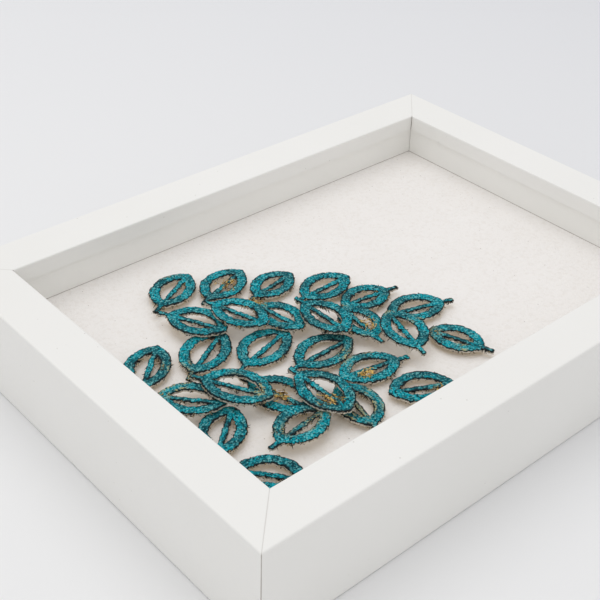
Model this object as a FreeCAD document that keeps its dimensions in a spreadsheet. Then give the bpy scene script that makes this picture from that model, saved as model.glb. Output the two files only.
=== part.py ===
import FreeCAD, Part
import math
import os

import Sketcher

# Deep box frame with raised paper leaves, lying on its back. Millimetres, +Z out of the picture,
# X along the long side, origin on the table under the middle of the frame.

doc = FreeCAD.newDocument("FramedPaperArt")
sheet = doc.addObject("Spreadsheet::Sheet", "Sheet")

DRIVING_SIZES = [
    ("sight_length", 231.5, "opening of the frame along X"),
    ("sight_width", 162.0, "opening of the frame along Y"),
    ("rail_face", 20.0, "width of the rail seen from the front"),
    ("rail_depth", 44.0, "front to back"),
    ("lip_thickness", 7.5, "front lip that holds the inside back"),
    ("rebate_width", 6.5, "how far the lip reaches over the rebate"),
    ("arris_radius", 0.7, "rounding of the two front edges"),
    ("display_depth", 21.0, "front of the rail to the paper"),
    ("spacer_thickness", 5.0, "spacer fillet, across the rail"),
    ("spacer_side_gap", 0.3, "spacer to rebate wall"),
    ("spacer_end_gap", 0.2, "short spacer to long spacer"),
    ("paper_thickness", 0.8, "heavy watercolour paper"),
    ("board_thickness", 3.0, "backing board"),
    ("sheet_side_gap", 0.5, "paper and board to rebate wall"),
    ("wedge_leg", 7.0, "corner wedge, each leg"),
    ("wedge_thickness", 0.8, "corner wedge sheet"),
    ("wedge_height", 10.0, "how deep the wedge is driven"),
    ("wedge_inset", 4.0, "outer side of the rail to the wedge"),
    ("slot_clearance", 0.05, "all round a driven wedge or point"),
    ("point_length", 16.0, "framing point, end to end"),
    ("point_width", 6.0, "framing point at the board"),
    ("point_tip_width", 3.0, "framing point at its driven end"),
    ("point_thickness", 0.6, "framing point sheet"),
    ("point_driven", 6.0, "how far a point goes into the rail"),
    ("long_rail_points", 3, "framing points in each long rail"),
    ("short_rail_points", 2, "framing points in each short rail"),
    ("hanger_length", 45.0, "sawtooth hanger, end to end"),
    ("hanger_width", 9.0, "sawtooth hanger across"),
    ("hanger_sheet", 0.8, "sawtooth hanger sheet"),
    ("hanger_foot", 9.0, "flat foot at each end"),
    ("hanger_ramp", 3.0, "bend between foot and bridge"),
    ("hanger_rise", 1.8, "bridge off the board"),
    ("hanger_top_distance", 16.0, "board edge to hanger centre line"),
    ("tooth_pitch", 2.5, "hanger teeth"),
    ("tooth_depth", 1.6, "hanger teeth"),
    ("rivet_radius", 1.2, "shank"),
    ("rivet_head_radius", 2.4, "head where it meets the foot"),
    ("rivet_crown_radius", 1.5, "top of the head"),
    ("rivet_head_height", 0.9, "head"),
    ("rivet_clearance", 0.05, "shank to its holes, all round"),
    ("large_leaf_length", 30.0, "tail to tip, without the stalk"),
    ("large_leaf_outer_bulge", 11.2, "midrib to the fuller edge"),
    ("large_leaf_inner_bulge", 8.8, "midrib to the flatter edge"),
    ("medium_leaf_length", 27.5, "tail to tip, without the stalk"),
    ("medium_leaf_outer_bulge", 10.4, "midrib to the fuller edge"),
    ("medium_leaf_inner_bulge", 8.2, "midrib to the flatter edge"),
    ("small_leaf_length", 25.0, "tail to tip, without the stalk"),
    ("small_leaf_outer_bulge", 9.5, "midrib to the fuller edge"),
    ("small_leaf_inner_bulge", 7.5, "midrib to the flatter edge"),
    ("leaf_band", 4.6, "width of the rim of a leaf"),
    ("leaf_rib", 2.6, "width of the midrib"),
    ("rim_stroke_count", 16, "straight knife strokes along each outer edge of a leaf"),
    ("window_stroke_count", 12, "straight knife strokes along the curve of a window"),
    ("leaf_thickness", 1.6, "fibrous paper sheet"),
    ("leaf_gap", 0.6, "air between leaves at two heights"),
    ("leaf_side_gap", 0.3, "least distance between leaves at one height"),
    ("leaf_wall_gap", 2.5, "least distance from a leaf to the sight edge"),
    ("stalk_length", 4.0, "stalk beyond the tail"),
    ("stalk_width", 2.8, "stalk at the leaf"),
    ("stalk_end_width", 2.2, "stalk at its cut end"),
    ("stalk_root", 6.0, "how far the stalk runs into the leaf"),
    ("strip_height", 2.0, "foam strip under the lowest leaves"),
    ("strip_length", 5.0, "foam strip along the midrib"),
    ("strip_width", 1.8, "foam strip across the midrib"),
    ("strip_side_gap", 0.4, "foam strip to the leaves that it passes"),
    ("inner_spray_radius", 34.0, "rib line of the inner spray, about the near corner"),
    ("spray_spacing", 47.0, "from one spray's rib line to the next"),
    ("pair_pitch", 19.5, "along the rib line, pair to pair"),
    ("pair_angle", 45.0, "degrees between a leaf and its rib line"),
    ("pair_offset", 2.2, "stalk end to the rib line"),
    ("inner_spray_start", 3.0, "left sight edge to the first pair, along the rib line"),
    ("middle_spray_start", 4.0, "left sight edge to the first pair, along the rib line"),
    ("outer_spray_start", 40.0, "left sight edge to the first pair, along the rib line"),
    ("inner_spray_pairs", 2, "pairs of leaves"),
    ("middle_spray_pairs", 6, "pairs of leaves"),
    ("outer_spray_pairs", 6, "pairs of leaves"),
    ("leaf_heights", 3, "levels that leaves may lie at"),
]

for row, (alias, number, meaning) in enumerate(DRIVING_SIZES, start=1):
    sheet.set(f"A{row}", meaning)
    sheet.set(f"B{row}", str(number))
    sheet.setAlias(f"B{row}", alias)
doc.recompute()


def size(alias):
    """The number in the sheet's cell of that name."""
    return float(sheet.get(alias))


# Heights that several pieces share, as expressions on the sheet.
SHOULDER_Z = "(Sheet.rail_depth - Sheet.lip_thickness)"
PAPER_TOP_Z = "(Sheet.rail_depth - Sheet.display_depth)"
BOARD_TOP_Z = f"({PAPER_TOP_Z} - Sheet.paper_thickness)"
BOARD_BACK_Z = f"({BOARD_TOP_Z} - Sheet.board_thickness)"
OUTER_HALF_LENGTH = "(Sheet.sight_length / 2 + Sheet.rail_face)"
OUTER_HALF_WIDTH = "(Sheet.sight_width / 2 + Sheet.rail_face)"
REBATE_HALF_LENGTH = "(Sheet.sight_length / 2 + Sheet.rebate_width)"
REBATE_HALF_WIDTH = "(Sheet.sight_width / 2 + Sheet.rebate_width)"

kept = []


def keep(obj, node):
    """Marks an object as a finished piece, which names its file."""
    obj.Label = node
    kept.append(obj)
    return obj


def bind(obj, **expressions):
    """Ties properties of an object to the sheet. A double underscore stands for a dot."""
    for name, expression in expressions.items():
        obj.setExpression(name.replace("__", "."), expression)
    return obj


def turned(degrees):
    """A placement at the origin, turned about Z."""
    return FreeCAD.Placement(FreeCAD.Vector(), FreeCAD.Rotation(FreeCAD.Vector(0, 0, 1), degrees))


def plane_of(body, role):
    """One of the body's own origin planes."""
    return next(feature for feature in body.Origin.OriginFeatures if feature.Role == role)


def new_sketch(body, name, role):
    """A sketch of the body on one of its origin planes."""
    sketch = body.newObject("Sketcher::SketchObject", name)
    sketch.AttachmentSupport = [(plane_of(body, role), "")]
    sketch.MapMode = "FlatFace"
    return sketch


def constrain(sketch, expression, *constraint):
    """Adds a constraint with a size and ties that size to the sheet."""
    index = sketch.addConstraint(Sketcher.Constraint(*constraint))
    sketch.setExpression(f"Constraints[{index}]", expression)


def polygon(sketch, points):
    """A closed outline whose corners are pairs of expressions on the sheet."""
    first, count = sketch.GeometryCount, len(points)
    turns = [math.tau * k / count for k in range(count)]
    ring = [FreeCAD.Vector(math.cos(turn), math.sin(turn), 0) for turn in turns]
    for k in range(count):
        sketch.addGeometry(Part.LineSegment(ring[k], ring[(k + 1) % count]), False)
    for k in range(count):
        sketch.addConstraint(Sketcher.Constraint("Coincident", first + k, 2, first + (k + 1) % count, 1))
    for k, (across, along) in enumerate(points):
        constrain(sketch, across, "DistanceX", -1, 1, first + k, 1, ring[k].x)
        constrain(sketch, along, "DistanceY", -1, 1, first + k, 1, ring[k].y)


def pad(body, name, sketch, length, middle=False):
    """Extrudes a sketch by an expression on the sheet."""
    feature = body.newObject("PartDesign::Pad", name)
    feature.Profile = sketch
    feature.SideType = "Symmetric" if middle else "One side"
    feature.setExpression("Length", length)
    return feature


def pocket_through(body, name, sketch):
    """Cuts a sketch through the body on both sides of its plane."""
    feature = body.newObject("PartDesign::Pocket", name)
    feature.Profile = sketch
    feature.Type = "ThroughAll"
    feature.SideType = "Symmetric"
    return feature


def group(node, members):
    """Like solids that share one node, or one blank laid in its place."""
    compound = doc.addObject("Part::Compound", node)
    compound.Links = members
    return keep(compound, node)


# Corner wedges: an L of sheet steel driven into the back of each mitre, one leg in each rail. From
# each corner to the next the wedge turns a quarter.
CORNERS = ["near_left", "near_right", "far_right", "far_left"]


def corner_wedge(name, corner, clearance="0"):
    """One wedge, or with a clearance the slot that it is driven into."""
    side_x = 1 if corner.endswith("right") else -1
    side_y = 1 if corner.startswith("far") else -1
    legs = []
    for leg, (long_side, short_side) in {"across": ("Length", "Width"), "along": ("Width", "Length")}.items():
        box = doc.addObject("Part::Box", f"{name}_{leg}")
        bind(box, **{long_side: f"Sheet.wedge_leg + 2 * {clearance}"})
        bind(box, **{short_side: f"Sheet.wedge_thickness + 2 * {clearance}"})
        bind(box, Height=f"Sheet.wedge_height + {clearance}")
        bind(box, Placement__Base__x=f"Sheet.wedge_inset - {clearance}")
        bind(box, Placement__Base__y=f"Sheet.wedge_inset - {clearance}")
        legs.append(box)
    wedge = doc.addObject("Part::Fuse", name)
    wedge.Base, wedge.Tool = legs
    wedge.Placement = turned(90 * CORNERS.index(corner))
    bind(wedge, Placement__Base__x=f"{side_x} * {OUTER_HALF_LENGTH}")
    bind(wedge, Placement__Base__y=f"{side_y} * {OUTER_HALF_WIDTH}")
    return wedge


# Framing points: tapered steel tabs driven sideways into the rebate wall, flat on the board's back.
def framing_point(name, half_opening, yaw, share, opening, clearance="0"):
    """One point on the wall reached by turning +Y through yaw, at a share of that wall's length."""
    point = doc.addObject("Part::Wedge", name)
    bind(point, Xmin=f"-Sheet.point_width / 2 - {clearance}", Xmax=f"Sheet.point_width / 2 + {clearance}")
    bind(point, X2min=f"-Sheet.point_tip_width / 2 - {clearance}")
    bind(point, X2max=f"Sheet.point_tip_width / 2 + {clearance}")
    bind(point, Ymin="0", Ymax=f"Sheet.point_length + {clearance}")
    bind(point, Zmin=f"-{clearance}", Z2min=f"-{clearance}")
    bind(point, Zmax=f"Sheet.point_thickness + {clearance}", Z2max=f"Sheet.point_thickness + {clearance}")
    point.Placement = turned(yaw)
    inward = f"({half_opening} + Sheet.point_driven - Sheet.point_length)"
    sideways = f"({share} * {opening})"
    turn_x, turn_y = round(-math.sin(math.radians(yaw))), round(math.cos(math.radians(yaw)))
    bind(point, Placement__Base__x=f"{turn_x} * {inward} + {turn_y} * {sideways}")
    bind(point, Placement__Base__y=f"{turn_y} * {inward} - {turn_x} * {sideways}")
    bind(point, Placement__Base__z=f"{BOARD_BACK_Z} - Sheet.point_thickness")
    return point


def framing_points(name, clearance="0"):
    """The points of all four rails, evenly spaced along each."""
    made = []
    walls = [
        ("top", REBATE_HALF_WIDTH, 0, "Sheet.sight_length", "long_rail_points"),
        ("left", REBATE_HALF_LENGTH, 90, "Sheet.sight_width", "short_rail_points"),
        ("bottom", REBATE_HALF_WIDTH, 180, "Sheet.sight_length", "long_rail_points"),
        ("right", REBATE_HALF_LENGTH, 270, "Sheet.sight_width", "short_rail_points"),
    ]
    for wall, half_opening, yaw, opening, number in walls:
        count = int(size(number))
        for k in range(count):
            share = (k + 0.5) / count - 0.5
            made.append(framing_point(f"{name}_{wall}_{k + 1}", half_opening, yaw, share, opening, clearance))
    return made


slots = doc.addObject("Part::Compound", "rail_slots")
slots.Links = [corner_wedge(f"slot_{corner}", corner, "Sheet.slot_clearance") for corner in CORNERS]
slots.Links += framing_points("point_slot", "Sheet.slot_clearance")


# Rails: one moulding, an L section with a rebate behind the lip, cut at 45 degrees at both ends.
def rail(node, length, half_across, yaw):
    """One rail. Its own X runs along it and its own Y from the outer side inwards."""
    body = doc.addObject("PartDesign::Body", f"{node}_moulding")
    section = new_sketch(body, f"{node}_section", "YZ_Plane")
    wall = "Sheet.rail_face - Sheet.rebate_width"
    polygon(section, [
        ("0", "0"),
        (wall, "0"),
        (wall, SHOULDER_Z),
        ("Sheet.rail_face", SHOULDER_Z),
        ("Sheet.rail_face", "Sheet.rail_depth"),
        ("0", "Sheet.rail_depth"),
    ])
    blank = pad(body, f"{node}_blank", section, f"2 * {length}", middle=True)
    doc.recompute()
    front = [
        f"Edge{number}"
        for number, edge in enumerate(blank.Shape.Edges, start=1)
        if edge.BoundBox.XLength > size("rail_depth") and edge.BoundBox.ZMin > size("rail_depth") - 0.01
    ]
    arrises = body.newObject("PartDesign::Fillet", f"{node}_arrises")
    arrises.Base = (blank, front)
    arrises.setExpression("Radius", "Sheet.arris_radius")
    mitres = new_sketch(body, f"{node}_mitre_lines", "XY_Plane")
    for side in ("-", ""):
        end = f"{side}{length}"
        heel = f"{side}({length} - Sheet.rail_face)"
        polygon(mitres, [(end, "0"), (heel, "Sheet.rail_face"), (end, "Sheet.rail_face")])
    pocket_through(body, f"{node}_mitres", mitres)
    body.Placement = turned(yaw)
    side_x, side_y = round(math.sin(math.radians(yaw))), -round(math.cos(math.radians(yaw)))
    across = {"x": f"{side_x} * {half_across}", "y": f"{side_y} * {half_across}"}
    bind(body, Placement__Base__x=across["x"], Placement__Base__y=across["y"])
    slotted = doc.addObject("Part::Cut", node)
    slotted.Base, slotted.Tool = body, slots
    return keep(slotted, node)


rail("bottom_rail", OUTER_HALF_LENGTH, OUTER_HALF_WIDTH, 0)
rail("right_rail", OUTER_HALF_WIDTH, OUTER_HALF_LENGTH, 90)
rail("top_rail", OUTER_HALF_LENGTH, OUTER_HALF_WIDTH, 180)
rail("left_rail", OUTER_HALF_WIDTH, OUTER_HALF_LENGTH, 270)

group("corner_wedges", [corner_wedge(f"wedge_{corner}", corner) for corner in CORNERS])


# Spacer fillets: they stand between the lip and the paper, a little behind the sight edge.
def centred_box(name, length, width, height, bottom):
    """A box centred on the Z axis, all its sizes expressions on the sheet."""
    box = doc.addObject("Part::Box", name)
    bind(box, Length=length, Width=width, Height=height)
    bind(box, Placement__Base__x=f"-({length}) / 2", Placement__Base__y=f"-({width}) / 2")
    bind(box, Placement__Base__z=bottom)
    return box


SPACER_HEIGHT = f"({SHOULDER_Z} - {PAPER_TOP_Z})"
SPACER_INSET = "(Sheet.spacer_side_gap + Sheet.spacer_thickness / 2)"
LONG_SPACER = f"(2 * {REBATE_HALF_LENGTH} - 2 * Sheet.spacer_side_gap)"
SPACER_END = "(Sheet.spacer_side_gap + Sheet.spacer_thickness + Sheet.spacer_end_gap)"
SHORT_SPACER = f"(2 * {REBATE_HALF_WIDTH} - 2 * {SPACER_END})"
for node, side in {"bottom_spacer": -1, "top_spacer": 1}.items():
    fillet = centred_box(node, LONG_SPACER, "Sheet.spacer_thickness", SPACER_HEIGHT, PAPER_TOP_Z)
    middle = f"{side} * ({REBATE_HALF_WIDTH} - {SPACER_INSET})"
    bind(fillet, Placement__Base__y=f"{middle} - Sheet.spacer_thickness / 2")
    keep(fillet, node)
for node, side in {"left_spacer": -1, "right_spacer": 1}.items():
    fillet = centred_box(node, "Sheet.spacer_thickness", SHORT_SPACER, SPACER_HEIGHT, PAPER_TOP_Z)
    middle = f"{side} * ({REBATE_HALF_LENGTH} - {SPACER_INSET})"
    bind(fillet, Placement__Base__x=f"{middle} - Sheet.spacer_thickness / 2")
    keep(fillet, node)


# Mount paper and backing board, the same size, loose in the rebate.
SHEET_LENGTH = f"(2 * {REBATE_HALF_LENGTH} - 2 * Sheet.sheet_side_gap)"
SHEET_WIDTH = f"(2 * {REBATE_HALF_WIDTH} - 2 * Sheet.sheet_side_gap)"
HANGER_Y = f"({SHEET_WIDTH} / 2 - Sheet.hanger_top_distance)"
RIVET_X = "(Sheet.hanger_length / 2 - Sheet.hanger_foot / 2)"

paper = centred_box("mount_paper", SHEET_LENGTH, SHEET_WIDTH, "Sheet.paper_thickness", BOARD_TOP_Z)
keep(paper, "mount_paper")

board_blank = centred_box("board_blank", SHEET_LENGTH, SHEET_WIDTH, "Sheet.board_thickness", BOARD_BACK_Z)
rivet_holes = doc.addObject("Part::Compound", "rivet_holes")
holes = []
for side in (-1, 1):
    hole = doc.addObject("Part::Cylinder", f"rivet_hole_{'left' if side < 0 else 'right'}")
    bind(hole, Radius="Sheet.rivet_radius + Sheet.rivet_clearance", Height="Sheet.board_thickness")
    bind(hole, Placement__Base__x=f"{side} * {RIVET_X}", Placement__Base__y=HANGER_Y)
    bind(hole, Placement__Base__z=BOARD_BACK_Z)
    holes.append(hole)
rivet_holes.Links = holes
board = doc.addObject("Part::Cut", "backing_board")
board.Base, board.Tool = board_blank, rivet_holes
keep(board, "backing_board")

group("framing_points", framing_points("framing_point"))


# Sawtooth hanger: a pressed strip, its bridge off the board so that a nail fits behind the teeth.
def sawtooth_hanger():
    """Feet flat on the board's back, teeth along the edge that faces down when it hangs."""
    body = doc.addObject("PartDesign::Body", "hanger_strip")
    profile = new_sketch(body, "hanger_profile", "XZ_Plane")
    end = "Sheet.hanger_length / 2"
    foot = f"({end} - Sheet.hanger_foot)"
    bridge = f"({foot} - Sheet.hanger_ramp)"
    polygon(profile, [
        (f"-{end}", "0"),
        (f"-{foot}", "0"),
        (f"-{bridge}", "-Sheet.hanger_rise"),
        (bridge, "-Sheet.hanger_rise"),
        (foot, "0"),
        (end, "0"),
        (end, "-Sheet.hanger_sheet"),
        (foot, "-Sheet.hanger_sheet"),
        (bridge, "-Sheet.hanger_rise - Sheet.hanger_sheet"),
        (f"-{bridge}", "-Sheet.hanger_rise - Sheet.hanger_sheet"),
        (f"-{foot}", "-Sheet.hanger_sheet"),
        (f"-{end}", "-Sheet.hanger_sheet"),
    ])
    pad(body, "hanger_blank", profile, "Sheet.hanger_width", middle=True)
    teeth = new_sketch(body, "hanger_teeth", "XY_Plane")
    toothed = size("hanger_length") - 2 * size("hanger_foot") - 2 * size("hanger_ramp")
    count = int(toothed / size("tooth_pitch"))
    edge = "-Sheet.hanger_width / 2"
    for k in range(count):
        middle = f"{k - (count - 1) / 2} * Sheet.tooth_pitch"
        polygon(teeth, [
            (f"{middle} - Sheet.tooth_pitch * 0.45", edge),
            (f"{middle} + Sheet.tooth_pitch * 0.45", edge),
            (middle, f"{edge} + Sheet.tooth_depth"),
        ])
    pocket_through(body, "hanger_tooth_cuts", teeth)
    bind(body, Placement__Base__y=HANGER_Y, Placement__Base__z=BOARD_BACK_Z)
    drilled = doc.addObject("Part::Cut", "sawtooth_hanger")
    drills = []
    for side in (-1, 1):
        drill = doc.addObject("Part::Cylinder", f"hanger_drill_{'left' if side < 0 else 'right'}")
        bind(drill, Radius="Sheet.rivet_radius + Sheet.rivet_clearance", Height="Sheet.hanger_sheet")
        bind(drill, Placement__Base__x=f"{side} * {RIVET_X}", Placement__Base__y=HANGER_Y)
        bind(drill, Placement__Base__z=f"{BOARD_BACK_Z} - Sheet.hanger_sheet")
        drills.append(drill)
    drilled.Base = body
    drilled.Tool = doc.addObject("Part::Compound", "hanger_drills")
    drilled.Tool.Links = drills
    return keep(drilled, "sawtooth_hanger")


sawtooth_hanger()


def hanger_rivet(side):
    """A shank through hanger and board, and a coned head under the hanger's foot."""
    name = "left" if side < 0 else "right"
    shank = doc.addObject("Part::Cylinder", f"rivet_shank_{name}")
    bind(shank, Radius="Sheet.rivet_radius", Height="Sheet.board_thickness + Sheet.hanger_sheet")
    bind(shank, Placement__Base__z=f"{BOARD_BACK_Z} - Sheet.hanger_sheet")
    head = doc.addObject("Part::Cone", f"rivet_head_{name}")
    bind(head, Radius1="Sheet.rivet_crown_radius", Radius2="Sheet.rivet_head_radius")
    bind(head, Height="Sheet.rivet_head_height")
    bind(head, Placement__Base__z=f"{BOARD_BACK_Z} - Sheet.hanger_sheet - Sheet.rivet_head_height")
    rivet = doc.addObject("Part::Fuse", f"rivet_{name}")
    rivet.Base, rivet.Tool = shank, head
    bind(rivet, Placement__Base__x=f"{side} * {RIVET_X}", Placement__Base__y=HANGER_Y)
    return rivet


group("hanger_rivets", [hanger_rivet(-1), hanger_rivet(1)])


# Leaves: open pointed ovals cut from thick fibrous paper, each with a midrib and a stalk. Their curves
# are cut in short straight knife strokes. One blank for each size is laid as often as needed.
def stroke_points(radius, centre, half_angle, strokes, side):
    """Corners of a knife-cut arc about a point on Y, from the tip's end to the tail's."""
    corners = []
    for k in range(strokes + 1):
        turn = f"({1 - 2 * k / strokes} * {half_angle})"
        corners.append((f"{radius} * sin({turn})", f"{side} * ({radius} * cos({turn}) + {centre})"))
    return corners


def leaf_blank(kind):
    """A leaf along its own X, its middle at the origin and its underside at Z 0."""
    body = doc.addObject("PartDesign::Body", f"{kind}_leaf_blank")
    outline = new_sketch(body, f"{kind}_leaf_outline", "XY_Plane")
    half_length = f"(Sheet.{kind}_leaf_length / 2)"
    rim_strokes, window_strokes = int(size("rim_stroke_count")), int(size("window_stroke_count"))
    rims = []
    for edge, side in {"outer": 1, "inner": -1}.items():
        bulge = f"Sheet.{kind}_leaf_{edge}_bulge"
        radius = f"(({half_length} ^ 2 + {bulge} ^ 2) / (2 * {bulge}))"
        centre = f"({bulge} - {radius})"
        rims.append(stroke_points(radius, centre, f"asin({half_length} / {radius})", rim_strokes, side))
        inner = f"({radius} - Sheet.leaf_band)"
        opening = f"acos((Sheet.leaf_rib / 2 - {centre}) / {inner})"
        polygon(outline, stroke_points(inner, centre, opening, window_strokes, side))
    polygon(outline, rims[0] + rims[1][-2:0:-1])
    pad(body, f"{kind}_leaf_blade", outline, "Sheet.leaf_thickness")
    stalk = new_sketch(body, f"{kind}_stalk_outline", "XY_Plane")
    stalk_end = f"-{half_length} - Sheet.stalk_length"
    stalk_start = f"-{half_length} + Sheet.stalk_root"
    polygon(stalk, [
        (stalk_end, "-Sheet.stalk_end_width / 2"),
        (stalk_start, "-Sheet.stalk_width / 2"),
        (stalk_start, "Sheet.stalk_width / 2"),
        (stalk_end, "Sheet.stalk_end_width / 2"),
    ])
    pad(body, f"{kind}_leaf_stalk", stalk, "Sheet.leaf_thickness")
    return body


def footprint(kind):
    """The flat outline of a leaf and its stalk, and that of its foam strip, for the layout."""
    half = size(f"{kind}_leaf_length") / 2
    tail, tip = FreeCAD.Vector(-half, 0, 0), FreeCAD.Vector(half, 0, 0)
    top = FreeCAD.Vector(0, size(f"{kind}_leaf_outer_bulge"), 0)
    bottom = FreeCAD.Vector(0, -size(f"{kind}_leaf_inner_bulge"), 0)
    blade = Part.Face(Part.Wire([Part.Arc(tail, top, tip).toShape(), Part.Arc(tip, bottom, tail).toShape()]))
    reach, across = size("stalk_length") + size("stalk_root"), size("stalk_width")
    corner = FreeCAD.Vector(-half - size("stalk_length"), -across / 2, 0)
    stalk = Part.makePlane(reach, across, corner)
    length, width = size("strip_length"), size("strip_width")
    strip = Part.makePlane(length, width, FreeCAD.Vector(-length / 2, -width / 2, 0))
    return Part.makeCompound([blade, stalk]), strip


# Layout: three curved sprays about the near left corner of the opening, leaves in pairs along each
# rib line and one at its end. A leaf lies at the lowest height where it and its strip come free.
NEAR_CORNER = FreeCAD.Vector(-size("sight_length") / 2, -size("sight_width") / 2, 0)
LEAF_KINDS = ("small", "medium", "large")
FOOTPRINTS = {kind: footprint(kind) for kind in LEAF_KINDS}
SPRAYS = {
    "inner": ["medium", "medium", "medium"],
    "middle": ["medium", "large", "large", "large", "medium", "medium", "small"],
    "outer": ["medium", "medium", "small", "medium", "small", "medium", "small"],
}


def inside_opening(shape):
    """True where a footprint keeps its distance from the sight edge."""
    box, gap = shape.BoundBox, size("leaf_wall_gap")
    half_length, half_width = size("sight_length") / 2 - gap, size("sight_width") / 2 - gap
    return max(-box.XMin, box.XMax) < half_length and max(-box.YMin, box.YMax) < half_width


def height_for(leaf, strip, laid):
    """The lowest free height, counted from 0, or None where there is none."""
    for height in range(int(size("leaf_heights"))):
        beside = [other for other in laid if other["height"] == height]
        below = [other for other in laid if other["height"] < height]
        above = [other for other in laid if other["height"] > height]
        free = all(leaf.distToShape(other["leaf"])[0] > size("leaf_side_gap") for other in beside)
        free = free and all(strip.distToShape(other["leaf"])[0] > size("strip_side_gap") for other in below)
        free = free and all(leaf.distToShape(other["strip"])[0] > size("strip_side_gap") for other in above)
        if free:
            return height
    return None


def spray(laid, name, rank, kinds):
    """Adds one spray's leaves, pair by pair, to those already laid."""
    radius = size("inner_spray_radius") + rank * size("spray_spacing")
    pairs = int(size(f"{name}_spray_pairs"))
    for k in range(pairs + 1):
        bearing = math.pi / 2 - (size(f"{name}_spray_start") + k * size("pair_pitch")) / radius
        node = NEAR_CORNER + FreeCAD.Vector(math.cos(bearing), math.sin(bearing), 0) * radius
        kind = kinds[min(k, len(kinds) - 1)]
        for side in (1, -1) if k < pairs else (0,):
            heading = math.degrees(bearing) - 90 + side * size("pair_angle")
            reach = size(f"{kind}_leaf_length") / 2 + size("stalk_length") + abs(side) * size("pair_offset")
            place = turned(heading)
            place.Base = node + place.Rotation.multVec(FreeCAD.Vector(reach, 0, 0))
            leaf, strip = (shape.transformed(place.toMatrix()) for shape in FOOTPRINTS[kind])
            if not inside_opening(leaf):
                continue
            height = height_for(leaf, strip, laid)
            if height is not None:
                laid.append({"leaf": leaf, "strip": strip, "height": height, "kind": kind, "place": place})


laid_leaves = []
for spray_rank, (spray_name, spray_kinds) in enumerate(SPRAYS.items()):
    spray(laid_leaves, spray_name, spray_rank, spray_kinds)

blanks = {kind: leaf_blank(kind) for kind in LEAF_KINDS}
strips = []
for number, laid in enumerate(laid_leaves, start=1):
    level = f"(Sheet.strip_height + {laid['height']} * (Sheet.leaf_thickness + Sheet.leaf_gap))"
    leaf = group(f"leaf_{number:02d}", [blanks[laid["kind"]]])
    leaf.Placement = laid["place"]
    bind(leaf, Placement__Base__z=f"{PAPER_TOP_Z} + {level}")
    strip = doc.addObject("Part::Box", f"strip_{number:02d}")
    bind(strip, Length="Sheet.strip_length", Width="Sheet.strip_width", Height=level)
    corner = FreeCAD.Vector(-size("strip_length") / 2, -size("strip_width") / 2, 0)
    strip.Placement = laid["place"].multiply(FreeCAD.Placement(corner, FreeCAD.Rotation()))
    bind(strip, Placement__Base__z=PAPER_TOP_Z)
    strips.append(strip)
group("foam_strips", strips)

doc.recompute()

faults = [obj.Name for obj in doc.Objects if {"Invalid", "Error"} & set(obj.State)]
faults += [obj.Label for obj in kept if obj.Shape.isNull() or not obj.Shape.isValid()]
if faults:
    raise RuntimeError(f"not built: {', '.join(faults)}")

os.makedirs("parts", exist_ok=True)
for obj in kept:
    obj.Shape.exportStep(f"parts/{obj.Label}.step")
    print(f"{obj.Label}: {len(obj.Shape.Solids)} solid(s), {obj.Shape.Volume:.1f} mm3")
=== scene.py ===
import math

import bpy
import numpy as np
from mathutils import Matrix, Vector


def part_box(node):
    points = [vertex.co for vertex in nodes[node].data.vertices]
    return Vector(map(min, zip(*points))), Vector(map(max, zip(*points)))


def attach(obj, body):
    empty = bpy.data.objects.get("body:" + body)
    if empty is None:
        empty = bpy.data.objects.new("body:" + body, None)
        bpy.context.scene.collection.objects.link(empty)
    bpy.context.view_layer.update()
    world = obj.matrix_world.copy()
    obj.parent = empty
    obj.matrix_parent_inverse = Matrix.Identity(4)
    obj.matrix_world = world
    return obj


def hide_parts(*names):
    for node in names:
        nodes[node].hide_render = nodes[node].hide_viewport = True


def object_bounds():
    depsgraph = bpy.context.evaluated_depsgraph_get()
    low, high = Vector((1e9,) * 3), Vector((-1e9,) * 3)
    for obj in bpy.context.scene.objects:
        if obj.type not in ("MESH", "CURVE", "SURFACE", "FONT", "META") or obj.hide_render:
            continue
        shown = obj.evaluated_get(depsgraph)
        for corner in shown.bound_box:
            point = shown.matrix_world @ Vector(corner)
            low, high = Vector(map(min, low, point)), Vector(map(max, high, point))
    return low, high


# Framed paper art lying on its back: a deep white box frame, and in it leaves cut from thick teal
# paper that stand off a sheet of white watercolour paper. Metres, +Z out of the picture.
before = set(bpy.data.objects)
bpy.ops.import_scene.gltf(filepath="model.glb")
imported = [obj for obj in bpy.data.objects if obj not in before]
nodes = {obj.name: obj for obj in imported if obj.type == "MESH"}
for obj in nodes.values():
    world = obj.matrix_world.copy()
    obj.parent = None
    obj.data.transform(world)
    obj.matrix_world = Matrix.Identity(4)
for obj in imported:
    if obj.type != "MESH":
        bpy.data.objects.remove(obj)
cad_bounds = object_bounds()
MM = 0.001


# Rails: four lengths of one wooden moulding with a rebate behind its lip, mitred at the corners and
# sprayed with white satin paint. The paint bridges the mitres badly, so each joint shows as a hairline.
OUTER_HALF_LENGTH, OUTER_HALF_WIDTH, FRONT_Z = cad_bounds[1]
SHOULDER_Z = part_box("bottom_spacer")[1].z
PAPER_TOP_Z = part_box("mount_paper")[1].z
SHEET_SIDE_GAP = 0.5 * MM
REBATE_HALF_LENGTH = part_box("mount_paper")[1].x + SHEET_SIDE_GAP
REBATE_HALF_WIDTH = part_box("mount_paper")[1].y + SHEET_SIDE_GAP


def linear(srgb):
    """A hex colour as the linear red, green, blue and alpha that a shader takes."""
    channels = np.array([int(srgb[k:k + 2], 16) / 255 for k in (0, 2, 4)])
    channels = np.where(channels <= 0.04045, channels / 12.92, ((channels + 0.055) / 1.055) ** 2.4)
    return (*channels.tolist(), 1.0)


def blank_material(name):
    """A material of that name with no nodes in it yet."""
    material = bpy.data.materials.new(name)
    material.use_nodes = True
    material.node_tree.nodes.clear()
    return material


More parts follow.
